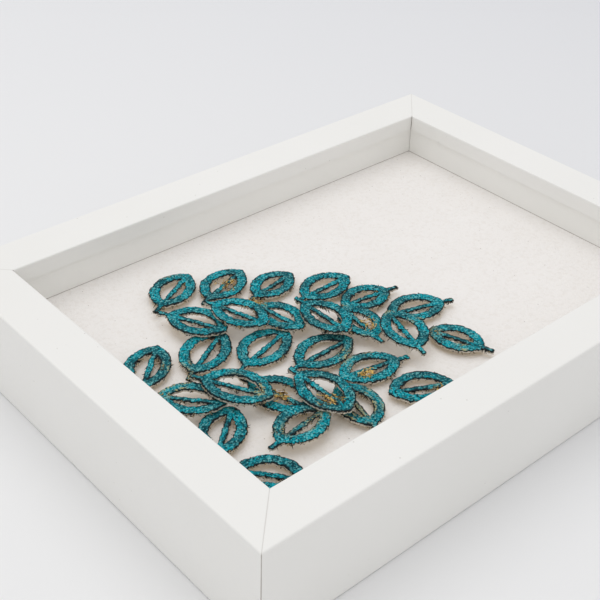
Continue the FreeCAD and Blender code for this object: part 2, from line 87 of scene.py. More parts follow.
def add(material, kind, sockets, output=0, **settings):
    """Adds a shader node, sets or links its sockets, and gives back one of its outputs."""
    node = material.node_tree.nodes.new(f"ShaderNode{kind}")
    for name, value in settings.items():
        setattr(node, name, value)
    for socket, value in sockets.items():
        if isinstance(value, bpy.types.NodeSocket):
            material.node_tree.links.new(value, node.inputs[socket])
        else:
            node.inputs[socket].default_value = value
    return node.outputs[output] if node.outputs else node


def dress(material, *names):
    """Gives CAD nodes that material and no other."""
    for name in names:
        nodes[name].data.materials.clear()
        nodes[name].data.materials.append(material)


def painted_rail(name, along):
    """Sprayed white satin paint over wood grain that runs along X or along Y."""
    paint = blank_material(name)
    place = add(paint, "TexCoord", {}, output="Object")
    folded = add(paint, "VectorMath", {0: place}, operation="ABSOLUTE")
    across_mitre = (math.sqrt(0.5), -math.sqrt(0.5), 0)
    from_corner = add(paint, "VectorMath", {0: folded, 1: across_mitre},
                      output="Value", operation="DOT_PRODUCT")
    mitre_offset = (OUTER_HALF_LENGTH - OUTER_HALF_WIDTH) * math.sqrt(0.5)
    from_mitre = add(paint, "Math", {0: from_corner, 1: mitre_offset}, operation="SUBTRACT")
    from_mitre = add(paint, "Math", {0: from_mitre}, operation="ABSOLUTE")
    patchy = add(paint, "TexNoise", {"Vector": place, "Scale": 1 / (14 * MM), "Detail": 2})
    line_width = add(paint, "MapRange", {0: patchy, 1: 0.35, 2: 0.65, 3: 0.14 * MM, 4: 0.30 * MM})
    hairline = add(paint, "MapRange", {0: from_mitre, 1: 0.0, 2: line_width, 3: 1.0, 4: 0.0})
    # On the face the coat nearly fills the joint. It stays open down the corners.
    level = add(paint, "SeparateXYZ", {0: place}, output="Z")
    on_face = add(paint, "MapRange", {0: level, 1: FRONT_Z - 0.6 * MM, 2: FRONT_Z, 3: 1.0, 4: 0.35})
    hairline = add(paint, "Math", {0: hairline, 1: on_face}, operation="MULTIPLY")
    # Spray leaves a faint orange peel of about 2 mm, and the grain telegraphs as long low ridges.
    peel = add(paint, "TexNoise", {"Vector": place, "Scale": 1 / (2.2 * MM), "Detail": 2})
    stretch = (0.05, 1, 1) if along == "X" else (1, 0.05, 1)
    grain_place = add(paint, "Mapping", {"Vector": place, "Scale": stretch})
    grain = add(paint, "TexNoise", {"Vector": grain_place, "Scale": 1 / (1.6 * MM), "Detail": 4})
    # Dust pits of about 0.6 mm, a few to each rail.
    pits = add(paint, "TexVoronoi", {"Vector": place, "Scale": 1 / (8.0 * MM)}, output="Distance")
    pit = add(paint, "MapRange", {0: pits, 1: 0.02, 2: 0.05, 3: 1.0, 4: 0.0}, interpolation_type="SMOOTHSTEP")
    height = add(paint, "Math", {0: peel, 1: 0.9, 2: 0.0}, operation="MULTIPLY_ADD")
    height = add(paint, "Math", {0: grain, 1: 0.7, 2: height}, operation="MULTIPLY_ADD")
    height = add(paint, "Math", {0: pit, 1: -6.0, 2: height}, operation="MULTIPLY_ADD")
    height = add(paint, "Math", {0: hairline, 1: -12.0, 2: height}, operation="MULTIPLY_ADD")
    bump = add(paint, "Bump", {"Height": height, "Distance": 0.012 * MM, "Strength": 1.0})
    # The coat is a shade uneven over about 60 mm.
    cloud = add(paint, "TexNoise", {"Vector": place, "Scale": 1 / (60 * MM), "Detail": 3})
    coat = add(paint, "Mix", {0: cloud, 6: linear("E9E8E4"), 7: linear("EEEDEA")}, output=2, data_type="RGBA")
    coat = add(paint, "Mix", {0: pit, 6: coat, 7: linear("D5D3CE")}, output=2, data_type="RGBA")
    coat = add(paint, "Mix", {0: hairline, 6: coat, 7: linear("8C8277")}, output=2, data_type="RGBA")
    # Inside the rebate the wood is bare, but for a little overspray under the lip.
    overspray = 2 * MM
    bare_corner = (REBATE_HALF_LENGTH, REBATE_HALF_WIDTH, SHOULDER_Z - overspray)
    beyond = add(paint, "VectorMath", {0: folded, 1: bare_corner}, operation="SUBTRACT")
    split = add(paint, "SeparateXYZ", {0: beyond}, output="X")
    beside = split.node.outputs["Y"]
    past_wall = add(paint, "Math", {0: split, 1: beside}, operation="MAXIMUM")
    past_wall = add(paint, "Math", {0: past_wall, 1: split.node.outputs["Z"]}, operation="MAXIMUM")
    in_rebate = add(paint, "Math", {0: past_wall, 1: 0.05 * MM}, operation="LESS_THAN")
    timber = add(paint, "Mix", {0: grain, 6: linear("B8966A"), 7: linear("D6BC92")},
                 output=2, data_type="RGBA")
    coat = add(paint, "Mix", {0: in_rebate, 6: coat, 7: timber}, output=2, data_type="RGBA")
    satin = add(paint, "MapRange", {0: peel, 1: 0.3, 2: 0.7, 3: 0.40, 4: 0.50})
    satin = add(paint, "MapRange", {0: in_rebate, 3: satin, 4: 0.8})
    shader = add(paint, "BsdfPrincipled",
                 {"Base Color": coat, "Roughness": satin, "IOR": 1.48, "Normal": bump})
    add(paint, "OutputMaterial", {"Surface": shader})
    return paint


dress(painted_rail("sprayed_white_paint_long_rails", "X"), "bottom_rail", "top_rail")
dress(painted_rail("sprayed_white_paint_short_rails", "Y"), "left_rail", "right_rail")


# Corner wedges and framing points: little tabs of galvanised sheet steel, the wedges driven across
# the mitres from behind, the points driven into the rebate walls over the backing board.
def galvanised_steel():
    """Zinc-coated sheet, dull grey with faint spangle of about 2 mm and rolled scratches."""
    steel = blank_material("galvanised_sheet_steel")
    place = add(steel, "TexCoord", {}, output="Object")
    spangle = add(steel, "TexVoronoi", {"Vector": place, "Scale": 1 / (2.0 * MM)}, output="Color")
    spangle = add(steel, "SeparateXYZ", {0: spangle})
    tone = add(steel, "Mix", {0: spangle, 6: linear("A9ADB0"), 7: linear("C6C9CB")},
               output=2, data_type="RGBA")
    dull = add(steel, "MapRange", {0: spangle, 3: 0.32, 4: 0.48})
    scratch = add(steel, "TexNoise", {"Vector": place, "Scale": 1 / (0.3 * MM), "Detail": 2})
    bump = add(steel, "Bump", {"Height": scratch, "Distance": 0.01 * MM})
    shader = add(steel, "BsdfPrincipled",
                 {"Base Color": tone, "Metallic": 1.0, "Roughness": dull, "Normal": bump})
    add(steel, "OutputMaterial", {"Surface": shader})
    return steel


dress(galvanised_steel(), "corner_wedges", "framing_points")


# Spacer fillets: four planed strips of softwood, brushed with flat white emulsion, which hold the
# paper against the back a little behind the sight edge. Dust gathers along their lower edge, and the shade
# there is painted in as a thin dark line.
def emulsioned_spacer():
    """Flat white emulsion over fine grain, with a thin dark line of dust and painted shade where the strip
    meets the paper.
    """
    emulsion = blank_material("brushed_white_emulsion")
    place = add(emulsion, "TexCoord", {}, output="Object")
    height_above = add(emulsion, "SeparateXYZ", {0: place}, output="Z")
    # Dust and painted shade: the coat darkens to grey brown within 0.45 mm of the paper.
    foot = add(emulsion, "MapRange",
               {0: height_above, 1: PAPER_TOP_Z + 0.10 * MM, 2: PAPER_TOP_Z + 0.45 * MM, 3: 0.8, 4: 0.0},
               interpolation_type="SMOOTHSTEP")
    brushed = add(emulsion, "Mapping", {"Vector": place, "Scale": (0.08, 0.08, 1)})
    strokes = add(emulsion, "TexNoise", {"Vector": brushed, "Scale": 1 / (0.9 * MM), "Detail": 4})
    cloud = add(emulsion, "TexNoise", {"Vector": place, "Scale": 1 / (35 * MM), "Detail": 2})
    coat = add(emulsion, "Mix", {0: cloud, 6: linear("EBEAE6"), 7: linear("F0EFEB")},
               output=2, data_type="RGBA")
    coat = add(emulsion, "Mix", {0: foot, 6: coat, 7: linear("9A958C")}, output=2, data_type="RGBA")
    bump = add(emulsion, "Bump", {"Height": strokes, "Distance": 0.02 * MM})
    shader = add(emulsion, "BsdfPrincipled",
                 {"Base Color": coat, "Roughness": 0.72, "IOR": 1.45, "Normal": bump})
    add(emulsion, "OutputMaterial", {"Surface": shader})
    return emulsion


dress(emulsioned_spacer(), "bottom_spacer", "top_spacer", "left_spacer", "right_spacer")


# Mount paper: a heavy cotton watercolour paper, cold pressed between felts, so its white face is
# pitted all over. A few dark fibres and specks were pressed in with the pulp.
def cold_pressed_paper():
    """Warm white cotton paper: felt marks of about 1.7 mm with painted shade in their hollows, over a finer
    tooth, and sparse specks.
    """
    paper = blank_material("cold_pressed_cotton_paper")
    place = add(paper, "TexCoord", {}, output="Object")
    felt = add(paper, "TexNoise", {"Vector": place, "Scale": 1 / (1.7 * MM), "Detail": 3, "Roughness": 0.6})
    tooth = add(paper, "TexNoise", {"Vector": place, "Scale": 1 / (0.5 * MM), "Detail": 2})
    height = add(paper, "Math", {0: tooth, 1: 0.25, 2: felt}, operation="MULTIPLY_ADD")
    bump = add(paper, "Bump", {"Height": height, "Distance": 0.30 * MM})
    cells = add(paper, "TexVoronoi", {"Vector": place, "Scale": 1 / (5.4 * MM)}, output="Distance")
    ragged = add(paper, "Math", {0: tooth, 1: 0.05, 2: cells}, operation="MULTIPLY_ADD")
    speck = add(paper, "MapRange", {0: ragged, 1: 0.055, 2: 0.07, 3: 0.75, 4: 0.0})
    cloud = add(paper, "TexNoise", {"Vector": place, "Scale": 1 / (25 * MM), "Detail": 3})
    pulp = add(paper, "Mix", {0: cloud, 6: linear("ECE8E4"), 7: linear("F0EDEA")}, output=2, data_type="RGBA")
    # Painted shade: the hollows of the felt marks are coloured a little darker and warmer.
    pits = add(paper, "MapRange", {0: felt, 1: 0.35, 2: 0.5, 3: 0.35, 4: 0.0})
    pulp = add(paper, "Mix", {0: pits, 6: pulp, 7: linear("E2DCD5")}, output=2, data_type="RGBA")
    pulp = add(paper, "Mix", {0: speck, 6: pulp, 7: linear("8C8078")}, output=2, data_type="RGBA")
    shader = add(paper, "BsdfPrincipled", {"Base Color": pulp, "Roughness": 0.85, "IOR": 1.4, "Normal": bump})
    add(paper, "OutputMaterial", {"Surface": shader})
    return paper


dress(cold_pressed_paper(), "mount_paper")


# Backing board: 3 mm fibreboard, pressed smooth on the face that shows from behind. The resin and
# the wood fibres in it give a warm brown with short darker flecks.
def fibreboard():
    """Pressed brown wood fibre, satin where the platen smoothed it, with flecks of about 1 mm."""
    board = blank_material("pressed_fibreboard")
    place = add(board, "TexCoord", {}, output="Object")
    fleck = add(board, "TexNoise", {"Vector": place, "Scale": 1 / (0.9 * MM), "Detail": 5, "Roughness": 0.7})
    cloud = add(board, "TexNoise", {"Vector": place, "Scale": 1 / (18 * MM), "Detail": 3})
    tone = add(board, "Mix", {0: cloud, 6: linear("86603C"), 7: linear("9A7249")}, output=2, data_type="RGBA")
    dark = add(board, "MapRange", {0: fleck, 1: 0.30, 2: 0.48, 3: 0.6, 4: 0.0})
    tone = add(board, "Mix", {0: dark, 6: tone, 7: linear("5B3D24")}, output=2, data_type="RGBA")
    sheen = add(board, "MapRange", {0: fleck, 1: 0.3, 2: 0.7, 3: 0.62, 4: 0.42})
    bump = add(board, "Bump", {"Height": fleck, "Distance": 0.05 * MM})
    shader = add(board, "BsdfPrincipled", {"Base Color": tone, "Roughness": sheen, "Normal": bump})
    add(board, "OutputMaterial", {"Surface": shader})
    return board


dress(fibreboard(), "backing_board")


# Sawtooth hanger and its two rivets: stamped steel strip with thin brass plating, bent so that a
# nail fits behind its teeth. The plating is bright, with fine rolling lines.
def brass_plate():
    """Brass plating on stamped steel, finely brushed along the strip and a little tarnished."""
    brass = blank_material("brass_plated_stamped_steel")
    place = add(brass, "TexCoord", {}, output="Object")
    along = add(brass, "Mapping", {"Vector": place, "Scale": (0.06, 1, 1)})
    lines = add(brass, "TexNoise", {"Vector": along, "Scale": 1 / (0.35 * MM), "Detail": 3})
    tarnish = add(brass, "TexNoise", {"Vector": place, "Scale": 1 / (6 * MM), "Detail": 4})
    tone = add(brass, "Mix", {0: tarnish, 6: linear("B08A45"), 7: linear("D8B56C")},
               output=2, data_type="RGBA")
    worn = add(brass, "MapRange", {0: tarnish, 1: 0.3, 2: 0.7, 3: 0.38, 4: 0.24})
    bump = add(brass, "Bump", {"Height": lines, "Distance": 0.02 * MM})
    shader = add(brass, "BsdfPrincipled",
                 {"Base Color": tone, "Metallic": 1.0, "Roughness": worn, "Normal": bump})
    add(brass, "OutputMaterial", {"Surface": shader})
    return brass


dress(brass_plate(), "sawtooth_hanger", "hanger_rivets")


# Foam strips: white foam board cut narrow, one under each leaf's midrib, which lift the leaves off
# the paper at three heights. The cut foam is open and matt.
def foam_board():
    """White polystyrene foam with cells of about 0.5 mm cut open on its sides."""
    foam = blank_material("white_cut_foam_board")
    place = add(foam, "TexCoord", {}, output="Object")
    cells = add(foam, "TexVoronoi", {"Vector": place, "Scale": 1 / (0.5 * MM)}, output="Distance")
    tone = add(foam, "Mix", {0: cells, 6: linear("F0EDE8"), 7: linear("E0DCD5")}, output=2, data_type="RGBA")
    bump = add(foam, "Bump", {"Height": cells, "Distance": 0.08 * MM})
    shader = add(foam, "BsdfPrincipled", {"Base Color": tone, "Roughness": 0.8, "Normal": bump})
    add(foam, "OutputMaterial", {"Surface": shader})
    return foam


dress(foam_board(), "foam_strips")


# Leaves: 27 open leaves cut by hand from thick straw paper that was dyed teal on its face. The blade
# left the cut edges dark, furred and uneven, with torn fibres that hang below them.
LEAF_NODES = sorted(name for name in nodes if name.startswith("leaf_"))
# The leaf's own sizes in millimetres, as its node has them.
BAND, RIB = 4.6, 2.6
STALK_LENGTH, STALK_END_WIDTH = 4.0, 2.2
STALK_ROOT, STALK_WIDTH = 6.0, 2.8
# The grid that a face is worked out on, and the rows of points down a wall, as shares of its height.
CELL, GRID_MARGIN = 0.3, 1.0
WALL_ROWS = (0.12, 0.38, 0.7)
# Torn fibres on a leaf, and how far they may hang below it, less than the air under it.
FIBRES, UNDER_ROOM = 260, 0.4
# Points along a straw thread, and how many points of the cut edge a tuft springs from.
THREAD_POINTS, TUFT_ROOTS = 7, 50


def leaf_seat(name):
    """Where a leaf lies and how large it is, from its CAD node, in mm.
    Its farthest corners are its tip and the two at the end of its stalk."""
    flat = np.array([v.co for v in nodes[name].data.vertices]) / MM
    apart = np.linalg.norm(flat[:, None, :2] - flat[None, :, :2], axis=2)
    ends = [flat[apart[k] > apart.max() - 0.01] for k in np.unravel_index(apart.argmax(), apart.shape)]
    tip, stalk_end = (end[:, :2].mean(axis=0) for end in sorted(ends, key=lambda end: np.ptp(end[:, :2])))
    reach = np.linalg.norm(tip - stalk_end)
    heading = (tip - stalk_end) / reach
    length = reach - STALK_LENGTH
    middle = tip - heading * length / 2
    aside = (flat[:, :2] - middle) @ np.array([-heading[1], heading[0]])
    return {
        "middle": middle,
        "heading": heading,
        "length": length,
        "outer": aside.max(),
        "inner": -aside.min(),
        "low": flat[:, 2].min(),
        "high": flat[:, 2].max(),
    }


def waves(rng, wavelength, count=20):
    """A smooth random field over x and y: three times the mean of sine waves of about one wavelength.
    The waves run any way in space, so over the flat some of them show longer."""
    lean = rng.normal(size=(count, 3))
    steepness = math.tau / wavelength * rng.uniform(0.6, 1.5, (count, 1))
    lean *= steepness / np.linalg.norm(lean, axis=1, keepdims=True)
    phase = rng.uniform(0, math.tau, count)

    def field(x, y):
        run = np.multiply.outer(x, lean[:, 0]) + np.multiply.outer(y, lean[:, 1])
        return np.sin(run + phase).mean(axis=-1) * 3.0
    return field


def leaf_distance(seat, nibble):
    """Distance from the cut edge over the sheet, below zero inside it, less a ragged nibble.
    The blade is where two circles overlap, joined to a tapered stalk, with two windows taken out.
    A window is a smaller circle about the same centre, cut off along the midrib."""
    half = seat["length"] / 2

    def distance(x, y):
        blade, windows = [], []
        for side, bulge in ((1, seat["outer"]), (-1, seat["inner"])):
            radius = (half ** 2 + bulge ** 2) / (2 * bulge)
            from_centre = np.hypot(x, y - side * (bulge - radius))
            blade.append(from_centre - radius)
            windows.append(np.maximum(from_centre - (radius - BAND), RIB / 2 - side * y))
        taper = (x + half + STALK_LENGTH) / (STALK_ROOT + STALK_LENGTH)
        stalk_half = (STALK_END_WIDTH + (STALK_WIDTH - STALK_END_WIDTH) * taper) / 2
        stalk = np.maximum(np.abs(y) - stalk_half, np.abs(x + half + (STALK_LENGTH - STALK_ROOT) / 2)
                           - (STALK_LENGTH + STALK_ROOT) / 2)
        sheet = np.minimum(np.maximum(*blade), stalk)
        return np.maximum(sheet, -np.minimum(*windows)) + nibble(x, y)
    return distance


def slope(distance, points):
    """Gradient of the distance at flat points, by central differences."""
    x, y = points.T
    step = CELL / 10
    rise = [
        distance(x + step, y) - distance(x - step, y),
        distance(x, y + step) - distance(x, y - step),
    ]
    return np.stack(rise, axis=1) / (2 * step)


def cut_sheet(distance, reach):
    """Square cells that lie inside the cut, with the corners on its edge pulled onto it.
    Gives the points, the cells as quads, and the edge's sides as pairs with the sheet on their left."""
    ticks = [np.arange(-size, size + CELL, CELL) for size in reach]
    x, y = np.meshgrid(*ticks, indexing="ij")
    inside = distance(x[:-1, :-1] + CELL / 2, y[:-1, :-1] + CELL / 2) < 0
    number = np.arange(x.size).reshape(x.shape)
    quads = np.stack([number[:-1, :-1], number[1:, :-1], number[1:, 1:], number[:-1, 1:]], axis=-1)[inside]
    used, quads = np.unique(quads, return_inverse=True)
    quads = quads.reshape(-1, 4)
    points = np.stack([x.ravel(), y.ravel()], axis=1)[used]
    sides = quads[:, [[0, 1], [1, 2], [2, 3], [3, 0]]].reshape(-1, 2)
    forward, backward = sides @ [len(points), 1], sides @ [1, len(points)]
    edge = sides[~np.isin(forward, backward)]
    rim = np.unique(edge)
    # Each pass moves the rim down the slope by its distance, and four bring it onto the cut.
    for _ in range(4):
        fall = slope(distance, points[rim])
        off = distance(*points[rim].T)
        points[rim] -= fall * (off / np.maximum((fall ** 2).sum(axis=1), 0.2))[:, None]
    return points, quads, edge


def leaf_body(seat, rng):
    """The leaf as a closed sheet. Its face dips to the cut edge, swells and wrinkles between, and its
    walls run down in rows that wander in and out. Gives points, quads, per point how far it is from
    the cut edge and how deep it lies, from 0 on the face to 1 below, and the edge's points with their
    outward directions."""
    coarse, fine, swell, wrinkle = (waves(rng, size) for size in (2.6, 1.0, 9.0, 1.3))
    distance = leaf_distance(seat, lambda x, y: 0.12 + 0.28 * coarse(x, y) + 0.15 * fine(x, y))
    half_reach = seat["length"] / 2 + STALK_LENGTH + GRID_MARGIN
    half_width = seat["outer"] + GRID_MARGIN
    flat, quads, edge = cut_sheet(distance, (half_reach, half_width))
    from_edge = np.maximum(-distance(*flat.T), 0)
    dip = 0.20 * np.exp(-from_edge / 0.22) + 0.05 * (1 + wrinkle(*flat.T)) + 0.08 * (1 + swell(*flat.T))
    face = np.column_stack([flat, seat["high"] - dip])
    under = np.column_stack([flat, seat["low"] + 0.05 + 0.15 * np.exp(-from_edge / 0.5)])
    rim, edge_ends = np.unique(edge, return_inverse=True)
    edge_ends = edge_ends.reshape(-1, 2)
    fall = slope(distance, flat[rim])
    outward = fall / np.maximum(np.linalg.norm(fall, axis=1, keepdims=True), 0.2)
    walls, depths = [], []
    for row in WALL_ROWS:
        proud = 0.12 * fine(*(flat[rim].T + row * 7)) - 0.05
        wall = flat[rim] + outward * proud[:, None]
        walls.append(np.column_stack([wall, face[rim, 2] * (1 - row) + under[rim, 2] * row]))
        depths.append(np.full(len(rim), 0.1 + 0.8 * row))
    count = len(flat)
    wall_rings = [2 * count + k * len(rim) + np.arange(len(rim)) for k in range(len(WALL_ROWS))]
    rings = [rim, *wall_rings, count + rim]
    start, end = edge_ends.T
    sides = [
        np.column_stack([top[start], low[start], low[end], top[end]])
        for top, low in zip(rings, rings[1:])
    ]
    points = np.concatenate([face, under, *walls])
    faces = np.concatenate([quads, quads[:, ::-1] + count, *sides])
    depth = np.concatenate([np.zeros(count), np.ones(count), *depths])
    from_edge = np.concatenate([from_edge, from_edge, np.zeros(len(points) - 2 * count)])
    roots = np.column_stack([flat[rim], outward])
    return points, faces, from_edge, depth, roots


def torn_fibres(seat, roots, rng, number):
    """Pointed three-sided fibres that start on the walls, thickest where the blade dragged, and hang
    outward and down. Each is a base triangle in the wall and a point, so four triangles."""
    dragged = np.maximum(waves(rng, 7.0)(*roots[:, :2].T), 0.0) ** 2 + 0.1
    chosen = roots[rng.choice(len(roots), number, p=dragged / dragged.sum())]
    out = np.column_stack([chosen[:, 2:], np.zeros(number)])
    side = np.column_stack([-chosen[:, 3], chosen[:, 2], np.zeros(number)])
    down = np.array([0.0, 0.0, -1.0])
    start_depth = rng.uniform(0.1, 1.0, (number, 1)) * (seat["high"] - seat["low"])
    length = rng.gamma(2.0, 0.30, (number, 1)).clip(0.15, 1.6)
    start = np.column_stack([chosen[:, :2], np.full(number, seat["high"])]) + down * start_depth - out * 0.12
    lean = out * rng.uniform(0.3, 1.1, (number, 1)) + side * rng.normal(0, 0.6, (number, 1))
    lean = lean + down * rng.uniform(0.0, 1.0, (number, 1))
    point = start + lean * length
    point[:, 2] = np.maximum(point[:, 2], seat["low"] - UNDER_ROOM)
    width = rng.uniform(0.14, 0.38, (number, 1))
    corners = [start + side * width, start - side * width, start + out * width + down * width * 0.5, point]
    points = np.concatenate(corners)
    first = np.arange(number)
    a, b, c, d = (first + k * number for k in range(4))
    triangles = np.concatenate([np.column_stack(t) for t in ((a, b, c), (a, d, b), (b, d, c), (c, d, a))])
    return points, triangles


def straw_threads(seat, roots, rng, number):
    """Loose golden threads of the undyed paper: three-sided tubes along shallow arcs beside one cut.
    A thread's line is its start, plus a run along the edge, plus a sine hump across and upwards."""
    middle = roots[rng.integers(0, len(roots))]
    near = roots[np.argsort(np.hypot(*(roots[:, :2] - middle[:2]).T))[:TUFT_ROOTS]]
    chosen = near[rng.integers(0, len(near), number)]
    out = np.column_stack([chosen[:, 2:], np.zeros(number)])
    side = np.column_stack([-chosen[:, 3], chosen[:, 2], np.zeros(number)])
    up = np.array([0.0, 0.0, 1.0])
    along = np.linspace(0, 1, THREAD_POINTS)[:, None, None]
    run = side * rng.choice([-1, 1], (number, 1)) + out * rng.normal(0, 0.5, (number, 1))
    start = np.column_stack([chosen[:, :2], np.full(number, seat["high"] - 0.35)]) - out * 0.3
    hump = out * rng.normal(0, 0.8, (number, 1)) + up * rng.uniform(0.1, 0.45, (number, 1))
    line = start + run * along * rng.uniform(1.0, 3.6, (number, 1)) + hump * np.sin(math.pi * along)
    line[..., 2] = np.minimum(line[..., 2], seat["high"] + 0.25)
    turns = math.tau * np.arange(3) / 3
    thin = 0.19 * (1 - 0.8 * np.abs(2 * along - 1) ** 3)
    ring = [line + thin * (np.cos(turn) * out + np.sin(turn) * up) for turn in turns]
    points = np.stack(ring, axis=2).reshape(-1, 3)
    number_of = np.arange(len(points)).reshape(THREAD_POINTS, number, 3)
    here, ahead = number_of[:-1], number_of[1:]
    quads = np.stack([here, np.roll(here, -1, 2), np.roll(ahead, -1, 2), ahead], axis=-1).reshape(-1, 4)
    return points, quads


def teal_paper():
    """Straw paper dyed teal by brush: fibrous, mottled from petrol to turquoise over about 9 mm, with
    dark specks. Along each cut the fibres are charcoal, on the walls streaked with straw."""
    teal = blank_material("brush_dyed_teal_straw_paper")
    place = add(teal, "TexCoord", {}, output="Object")
    from_edge = add(teal, "Attribute", {}, output="Fac", attribute_name="from_edge")
    depth = add(teal, "Attribute", {}, output="Fac", attribute_name="depth")
    cloud = add(teal, "TexNoise", {"Vector": place, "Scale": 1 / (9 * MM), "Detail": 3, "Distortion": 0.6})
    fibre = add(teal, "TexNoise",
                {"Vector": place, "Scale": 1 / (1.3 * MM), "Detail": 4, "Roughness": 0.75, "Distortion": 0.8})
    speckle = add(teal, "TexNoise", {"Vector": place, "Scale": 1 / (0.9 * MM), "Detail": 1, "Roughness": 0.6})
    wash = add(teal, "MapRange", {0: cloud, 1: 0.38, 2: 0.62, 3: 0.0, 4: 1.0},
               interpolation_type="SMOOTHSTEP")
    dye = add(teal, "Mix", {0: wash, 6: linear("1A6B74"), 7: linear("00A0AE")}, output=2, data_type="RGBA")
    deep = add(teal, "MapRange", {0: fibre, 1: 0.38, 2: 0.50, 3: 0.6, 4: 0.0})
    dye = add(teal, "Mix", {0: deep, 6: dye, 7: linear("004550")}, output=2, data_type="RGBA")
    # Flecks: each end of fibre took up its own share of dye.
    grit = add(teal, "TexVoronoi", {"Vector": place, "Scale": 1 / (0.5 * MM)}, output="Color")
    grit = add(teal, "SeparateXYZ", {0: grit})
    pale = add(teal, "MapRange", {0: grit, 1: 0.66, 2: 1.0, 3: 0.0, 4: 0.7})
    dye = add(teal, "Mix", {0: pale, 6: dye, 7: linear("84CCCA")}, output=2, data_type="RGBA")
    dark = add(teal, "MapRange", {0: grit, 1: 0.05, 2: 0.4, 3: 0.95, 4: 0.0})
    dye = add(teal, "Mix", {0: dark, 6: dye, 7: linear("00323C")}, output=2, data_type="RGBA")
    specks = add(teal, "MapRange", {0: speckle, 1: 0.36, 2: 0.42, 3: 0.9, 4: 0.0})
    dye = add(teal, "Mix", {0: specks, 6: dye, 7: linear("062F38")}, output=2, data_type="RGBA")
    # The border is 0.1 to 1 mm wide, widest where the cloud is dark.
    reach = add(teal, "MapRange", {0: cloud, 1: 0.34, 2: 0.62, 3: 1.15, 4: 0.36})
    wander = add(teal, "Math", {0: speckle, 1: 1.2, 2: -0.52}, operation="MULTIPLY_ADD")
    edge_at = add(teal, "Math", {0: from_edge, 1: wander}, operation="ADD")
    # Here and there the brush missed the rim, and straw shows between the flecks.
    missed = add(teal, "TexNoise", {"Vector": place, "Scale": 1 / (17 * MM), "Detail": 1})
    missed = add(teal, "MapRange", {0: missed, 1: 0.60, 2: 0.68, 3: 0.0, 4: 0.9})
    on_rim = add(teal, "MapRange", {0: edge_at, 1: 0.4, 2: 1.9, 3: 1.0, 4: 0.0})
    missed = add(teal, "Math", {0: missed, 1: on_rim}, operation="MULTIPLY")
    undyed = add(teal, "MapRange", {0: grit, 1: 0.3, 2: 0.7, 3: 0.0, 4: missed})
    dye = add(teal, "Mix", {0: undyed, 6: dye, 7: linear("C9A95C")}, output=2, data_type="RGBA")
    border = add(teal, "Math", {0: edge_at, 1: reach}, operation="DIVIDE")
    border = add(teal, "MapRange", {0: border, 1: 0.45, 2: 0.9, 3: 1.0, 4: 0.0},
                 interpolation_type="SMOOTHSTEP")
    dye = add(teal, "Mix", {0: border, 6: dye, 7: linear("1C2A2E")}, output=2, data_type="RGBA")
    # Walls: the stain runs down the sheet in teeth, so the pattern is drawn out in Z, and bare straw
    # shows between them lower down.
    drawn = add(teal, "Mapping", {"Vector": place, "Scale": (1, 1, 0.15)})
    streak = add(teal, "TexNoise", {"Vector": drawn, "Scale": 1 / (1.1 * MM), "Detail": 4, "Roughness": 0.7})
    streak = add(teal, "Math", {0: depth, 1: 0.5, 2: streak}, operation="MULTIPLY_ADD")
    bare = add(teal, "MapRange", {0: streak, 1: 0.67, 2: 0.76, 3: 0.0, 4: 0.9})
    wall = add(teal, "Mix", {0: bare, 6: linear("26211F"), 7: linear("DAD3C6")}, output=2, data_type="RGBA")
    on_wall = add(teal, "MapRange", {0: depth, 1: 0.12, 2: 0.3, 3: 0.0, 4: 1.0})
    dye = add(teal, "Mix", {0: on_wall, 6: dye, 7: wall}, output=2, data_type="RGBA")
    below = add(teal, "MapRange", {0: depth, 1: 0.9, 2: 0.99, 3: 0.0, 4: 1.0})
    straw = add(teal, "Mix", {0: fibre, 6: linear("DCC08E"), 7: linear("EEDDB8")}, output=2, data_type="RGBA")
    dye = add(teal, "Mix", {0: below, 6: dye, 7: straw}, output=2, data_type="RGBA")
    height = add(teal, "Math", {0: speckle, 1: 0.5, 2: fibre}, operation="MULTIPLY_ADD")
    bump = add(teal, "Bump", {"Height": height, "Distance": 0.28 * MM})
    shader = add(teal, "BsdfPrincipled", {
        "Base Color": dye,
        "Roughness": 0.8,
        "IOR": 1.4,
        "Specular IOR Level": 0.15,
        "Normal": bump,
    })
    add(teal, "OutputMaterial", {"Surface": shader})
    return teal


def charred_fibre():
    """Torn fibres stained near black by the dye, with a few that stayed brown."""
    fibre = blank_material("stained_torn_fibre")
    place = add(fibre, "TexCoord", {}, output="Object")
    pick = add(fibre, "TexNoise", {"Vector": place, "Scale": 1 / (1.4 * MM), "Detail": 1})
    pick = add(fibre, "MapRange", {0: pick, 1: 0.50, 2: 0.60, 3: 0.0, 4: 1.0})
    tone = add(fibre, "Mix", {0: pick, 6: linear("1A1A1A"), 7: linear("A5936F")}, output=2, data_type="RGBA")
    shader = add(fibre, "BsdfPrincipled", {"Base Color": tone, "Roughness": 0.85, "Specular IOR Level": 0.2})
    add(fibre, "OutputMaterial", {"Surface": shader})
    return fibre


def golden_straw():
    """Undyed straw threads, with the waxy gold sheen that straw keeps, some of them browned."""
    straw = blank_material("undyed_golden_straw")
    place = add(straw, "TexCoord", {}, output="Object")
    pick = add(straw, "TexNoise", {"Vector": place, "Scale": 1 / (0.9 * MM), "Detail": 1})
    pick = add(straw, "MapRange", {0: pick, 1: 0.4, 2: 0.6})
    tone = add(straw, "Mix", {0: pick, 6: linear("5E3D14"), 7: linear("ECC66C")}, output=2, data_type="RGBA")
    shader = add(straw, "BsdfPrincipled", {"Base Color": tone, "Roughness": 0.45, "IOR": 1.5})
    add(straw, "OutputMaterial", {"Surface": shader})
    return straw


LEAF_MATERIALS = [teal_paper(), charred_fibre(), golden_straw()]
# The leaves where bare straw frays out of a cut, by number, with how many threads each has.
THREADED = {2: 40, 5: 64, 9: 60, 11: 36, 12: 50, 14: 70, 17: 40, 20: 56, 24: 40}


